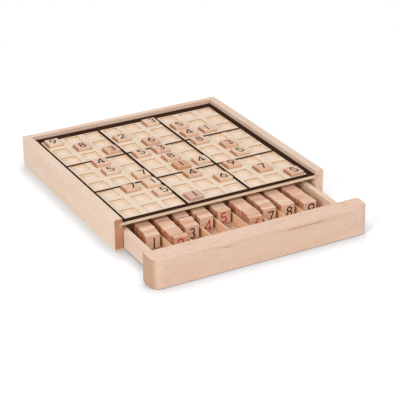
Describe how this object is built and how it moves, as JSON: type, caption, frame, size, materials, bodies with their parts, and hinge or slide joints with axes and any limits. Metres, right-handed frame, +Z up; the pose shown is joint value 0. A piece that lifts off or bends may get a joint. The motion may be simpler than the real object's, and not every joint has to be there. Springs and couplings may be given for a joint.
{
  "type": "sudoku board",
  "caption": "Wooden sudoku board: a shallow case topped by a recessed grid, with loose number tiles and a pull-out tile drawer.",
  "frame": {"origin": "centre of the case underside", "axes": "+X right along the drawer front, +Y to the back (the drawer pulls out along -Y), +Z up out of the board"},
  "size_m": [0.2224, 0.2942, 0.0317],
  "materials": {
    "case_beech": "sanded, unvarnished beech",
    "plywood": "sanded thin plywood",
    "board_plywood": "sanded thin plywood, printed black lines on top",
    "tile_beech": "tumbled beech",
    "ink_black": "matt printing ink",
    "ink_red": "matt printing ink"
  },
  "bodies": {
    "case": {"bottom_panel": "plywood", "left_side": "case_beech", "right_side": "case_beech", "back_wall": "case_beech", "board_grid": "board_plywood", "board_backing": "board_plywood"},
    "drawer": {"drawer_front": "case_beech", "drawer_left_wall": "case_beech", "drawer_right_wall": "case_beech", "drawer_back": "case_beech", "drawer_floor": "plywood", "divider_1": "plywood", "divider_2": "plywood", "divider_3": "plywood", "divider_4": "plywood", "divider_5": "plywood", "divider_6": "plywood", "divider_7": "plywood", "divider_8": "plywood"},
    "drawer_tiles_1": {"drawer_tiles_1": "tile_beech"},
    "drawer_tiles_2": {"drawer_tiles_2": "tile_beech"},
    "drawer_tiles_3": {"drawer_tiles_3": "tile_beech"},
    "drawer_tiles_4": {"drawer_tiles_4": "tile_beech"},
    "drawer_tiles_5": {"drawer_tiles_5": "tile_beech"},
    "drawer_tiles_6": {"drawer_tiles_6": "tile_beech"},
    "drawer_tiles_7": {"drawer_tiles_7": "tile_beech"},
    "drawer_tiles_8": {"drawer_tiles_8": "tile_beech"},
    "drawer_tiles_9": {"drawer_tiles_9": "tile_beech"},
    "tile_9_column_1_row_1": {"tile_9_column_1_row_1": "tile_beech"},
    "tile_3_column_6_row_1": {"tile_3_column_6_row_1": "tile_beech"},
    "tile_8_column_2_row_2": {"tile_8_column_2_row_2": "tile_beech"},
    "tile_2_column_4_row_2": {"tile_2_column_4_row_2": "tile_beech"},
    "tile_5_column_7_row_2": {"tile_5_column_7_row_2": "tile_beech"},
    "tile_3_column_3_row_3": {"tile_3_column_3_row_3": "tile_beech"},
    "tile_6_column_5_row_3": {"tile_6_column_5_row_3": "tile_beech"},
    "tile_4_column_7_row_3": {"tile_4_column_7_row_3": "tile_beech"},
    "tile_1_column_8_row_3": {"tile_1_column_8_row_3": "tile_beech"},
    "tile_4_column_2_row_4": {"tile_4_column_2_row_4": "tile_beech"},
    "tile_5_column_4_row_4": {"tile_5_column_4_row_4": "tile_beech"},
    "tile_3_column_5_row_4": {"tile_3_column_5_row_4": "tile_beech"},
    "tile_8_column_7_row_4": {"tile_8_column_7_row_4": "tile_beech"},
    "tile_5_column_2_row_5": {"tile_5_column_2_row_5": "tile_beech"},
    "tile_8_column_5_row_5": {"tile_8_column_5_row_5": "tile_beech"},
    "tile_3_column_8_row_5": {"tile_3_column_8_row_5": "tile_beech"},
    "tile_7_column_3_row_6": {"tile_7_column_3_row_6": "tile_beech"},
    "tile_1_column_5_row_6": {"tile_1_column_5_row_6": "tile_beech"},
    "tile_4_column_6_row_6": {"tile_4_column_6_row_6": "tile_beech"},
    "tile_5_column_8_row_6": {"tile_5_column_8_row_6": "tile_beech"},
    "tile_7_column_2_row_7": {"tile_7_column_2_row_7": "tile_beech"},
    "tile_1_column_3_row_7": {"tile_1_column_3_row_7": "tile_beech"},
    "tile_4_column_5_row_7": {"tile_4_column_5_row_7": "tile_beech"},
    "tile_9_column_7_row_7": {"tile_9_column_7_row_7": "tile_beech"},
    "tile_5_column_3_row_8": {"tile_5_column_3_row_8": "tile_beech"},
    "tile_6_column_6_row_8": {"tile_6_column_6_row_8": "tile_beech"},
    "tile_7_column_8_row_8": {"tile_7_column_8_row_8": "tile_beech"},
    "tile_1_column_4_row_9": {"tile_1_column_4_row_9": "tile_beech"},
    "tile_5_column_9_row_9": {"tile_5_column_9_row_9": "tile_beech"}
  },
  "joints": [
    {"name": "drawer_slide", "type": "slide", "parent": "case", "child": "drawer", "axis": [0, -1, 0], "range_m": [-0.0605, 0.014]},
    {"name": "slide_drawer_tiles_1", "type": "slide", "parent": "drawer", "child": "drawer_tiles_1", "axis": [0, 1, 0], "range_m": [-0.0405, 0.0085]},
    {"name": "slide_drawer_tiles_2", "type": "slide", "parent": "drawer", "child": "drawer_tiles_2", "axis": [0, 1, 0], "range_m": [-0.026, 0.0035]},
    {"name": "slide_drawer_tiles_3", "type": "slide", "parent": "drawer", "child": "drawer_tiles_3", "axis": [0, 1, 0], "range_m": [-0.0396, 0.0069]},
    {"name": "slide_drawer_tiles_4", "type": "slide", "parent": "drawer", "child": "drawer_tiles_4", "axis": [0, 1, 0], "range_m": [-0.0488, 0.0002]},
    {"name": "slide_drawer_tiles_5", "type": "slide", "parent": "drawer", "child": "drawer_tiles_5", "axis": [0, 1, 0], "range_m": [-0.052, 0.0092]},
    {"name": "slide_drawer_tiles_6", "type": "slide", "parent": "drawer", "child": "drawer_tiles_6", "axis": [0, 1, 0], "range_m": [-0.027, 0.0091]},
    {"name": "slide_drawer_tiles_7", "type": "slide", "parent": "drawer", "child": "drawer_tiles_7", "axis": [0, 1, 0], "range_m": [-0.0354, 0.0075]},
    {"name": "slide_drawer_tiles_8", "type": "slide", "parent": "drawer", "child": "drawer_tiles_8", "axis": [0, 1, 0], "range_m": [-0.0345, 0.0084]},
    {"name": "slide_drawer_tiles_9", "type": "slide", "parent": "drawer", "child": "drawer_tiles_9", "axis": [0, 1, 0], "range_m": [-0.028, 0.0088]},
    {"name": "lift_tile_9_column_1_row_1", "type": "slide", "parent": "case", "child": "tile_9_column_1_row_1", "axis": [0, 0, 1], "range_m": [0, 0.02]},
    {"name": "lift_tile_3_column_6_row_1", "type": "slide", "parent": "case", "child": "tile_3_column_6_row_1", "axis": [0, 0, 1], "range_m": [0, 0.02]},
    {"name": "lift_tile_8_column_2_row_2", "type": "slide", "parent": "case", "child": "tile_8_column_2_row_2", "axis": [0, 0, 1], "range_m": [0, 0.02]},
    {"name": "lift_tile_2_column_4_row_2", "type": "slide", "parent": "case", "child": "tile_2_column_4_row_2", "axis": [0, 0, 1], "range_m": [0, 0.02]},
    {"name": "lift_tile_5_column_7_row_2", "type": "slide", "parent": "case", "child": "tile_5_column_7_row_2", "axis": [0, 0, 1], "range_m": [0, 0.02]},
    {"name": "lift_tile_3_column_3_row_3", "type": "slide", "parent": "case", "child": "tile_3_column_3_row_3", "axis": [0, 0, 1], "range_m": [0, 0.02]},
    {"name": "lift_tile_6_column_5_row_3", "type": "slide", "parent": "case", "child": "tile_6_column_5_row_3", "axis": [0, 0, 1], "range_m": [0, 0.02]},
    {"name": "lift_tile_4_column_7_row_3", "type": "slide", "parent": "case", "child": "tile_4_column_7_row_3", "axis": [0, 0, 1], "range_m": [0, 0.02]},
    {"name": "lift_tile_1_column_8_row_3", "type": "slide", "parent": "case", "child": "tile_1_column_8_row_3", "axis": [0, 0, 1], "range_m": [0, 0.02]},
    {"name": "lift_tile_4_column_2_row_4", "type": "slide", "parent": "case", "child": "tile_4_column_2_row_4", "axis": [0, 0, 1], "range_m": [0, 0.02]},
    {"name": "lift_tile_5_column_4_row_4", "type": "slide", "parent": "case", "child": "tile_5_column_4_row_4", "axis": [0, 0, 1], "range_m": [0, 0.02]},
    {"name": "lift_tile_3_column_5_row_4", "type": "slide", "parent": "case", "child": "tile_3_column_5_row_4", "axis": [0, 0, 1], "range_m": [0, 0.02]},
    {"name": "lift_tile_8_column_7_row_4", "type": "slide", "parent": "case", "child": "tile_8_column_7_row_4", "axis": [0, 0, 1], "range_m": [0, 0.02]},
    {"name": "lift_tile_5_column_2_row_5", "type": "slide", "parent": "case", "child": "tile_5_column_2_row_5", "axis": [0, 0, 1], "range_m": [0, 0.02]},
    {"name": "lift_tile_8_column_5_row_5", "type": "slide", "parent": "case", "child": "tile_8_column_5_row_5", "axis": [0, 0, 1], "range_m": [0, 0.02]},
    {"name": "lift_tile_3_column_8_row_5", "type": "slide", "parent": "case", "child": "tile_3_column_8_row_5", "axis": [0, 0, 1], "range_m": [0, 0.02]},
    {"name": "lift_tile_7_column_3_row_6", "type": "slide", "parent": "case", "child": "tile_7_column_3_row_6", "axis": [0, 0, 1], "range_m": [0, 0.02]},
    {"name": "lift_tile_1_column_5_row_6", "type": "slide", "parent": "case", "child": "tile_1_column_5_row_6", "axis": [0, 0, 1], "range_m": [0, 0.02]},
    {"name": "lift_tile_4_column_6_row_6", "type": "slide", "parent": "case", "child": "tile_4_column_6_row_6", "axis": [0, 0, 1], "range_m": [0, 0.02]},
    {"name": "lift_tile_5_column_8_row_6", "type": "slide", "parent": "case", "child": "tile_5_column_8_row_6", "axis": [0, 0, 1], "range_m": [0, 0.02]},
    {"name": "lift_tile_7_column_2_row_7", "type": "slide", "parent": "case", "child": "tile_7_column_2_row_7", "axis": [0, 0, 1], "range_m": [0, 0.02]},
    {"name": "lift_tile_1_column_3_row_7", "type": "slide", "parent": "case", "child": "tile_1_column_3_row_7", "axis": [0, 0, 1], "range_m": [0, 0.02]},
    {"name": "lift_tile_4_column_5_row_7", "type": "slide", "parent": "case", "child": "tile_4_column_5_row_7", "axis": [0, 0, 1], "range_m": [0, 0.02]},
    {"name": "lift_tile_9_column_7_row_7", "type": "slide", "parent": "case", "child": "tile_9_column_7_row_7", "axis": [0, 0, 1], "range_m": [0, 0.02]},
    {"name": "lift_tile_5_column_3_row_8", "type": "slide", "parent": "case", "child": "tile_5_column_3_row_8", "axis": [0, 0, 1], "range_m": [0, 0.02]},
    {"name": "lift_tile_6_column_6_row_8", "type": "slide", "parent": "case", "child": "tile_6_column_6_row_8", "axis": [0, 0, 1], "range_m": [0, 0.02]},
    {"name": "lift_tile_7_column_8_row_8", "type": "slide", "parent": "case", "child": "tile_7_column_8_row_8", "axis": [0, 0, 1], "range_m": [0, 0.02]},
    {"name": "lift_tile_1_column_4_row_9", "type": "slide", "parent": "case", "child": "tile_1_column_4_row_9", "axis": [0, 0, 1], "range_m": [0, 0.02]},
    {"name": "lift_tile_5_column_9_row_9", "type": "slide", "parent": "case", "child": "tile_5_column_9_row_9", "axis": [0, 0, 1], "range_m": [0, 0.02]}
  ]
}
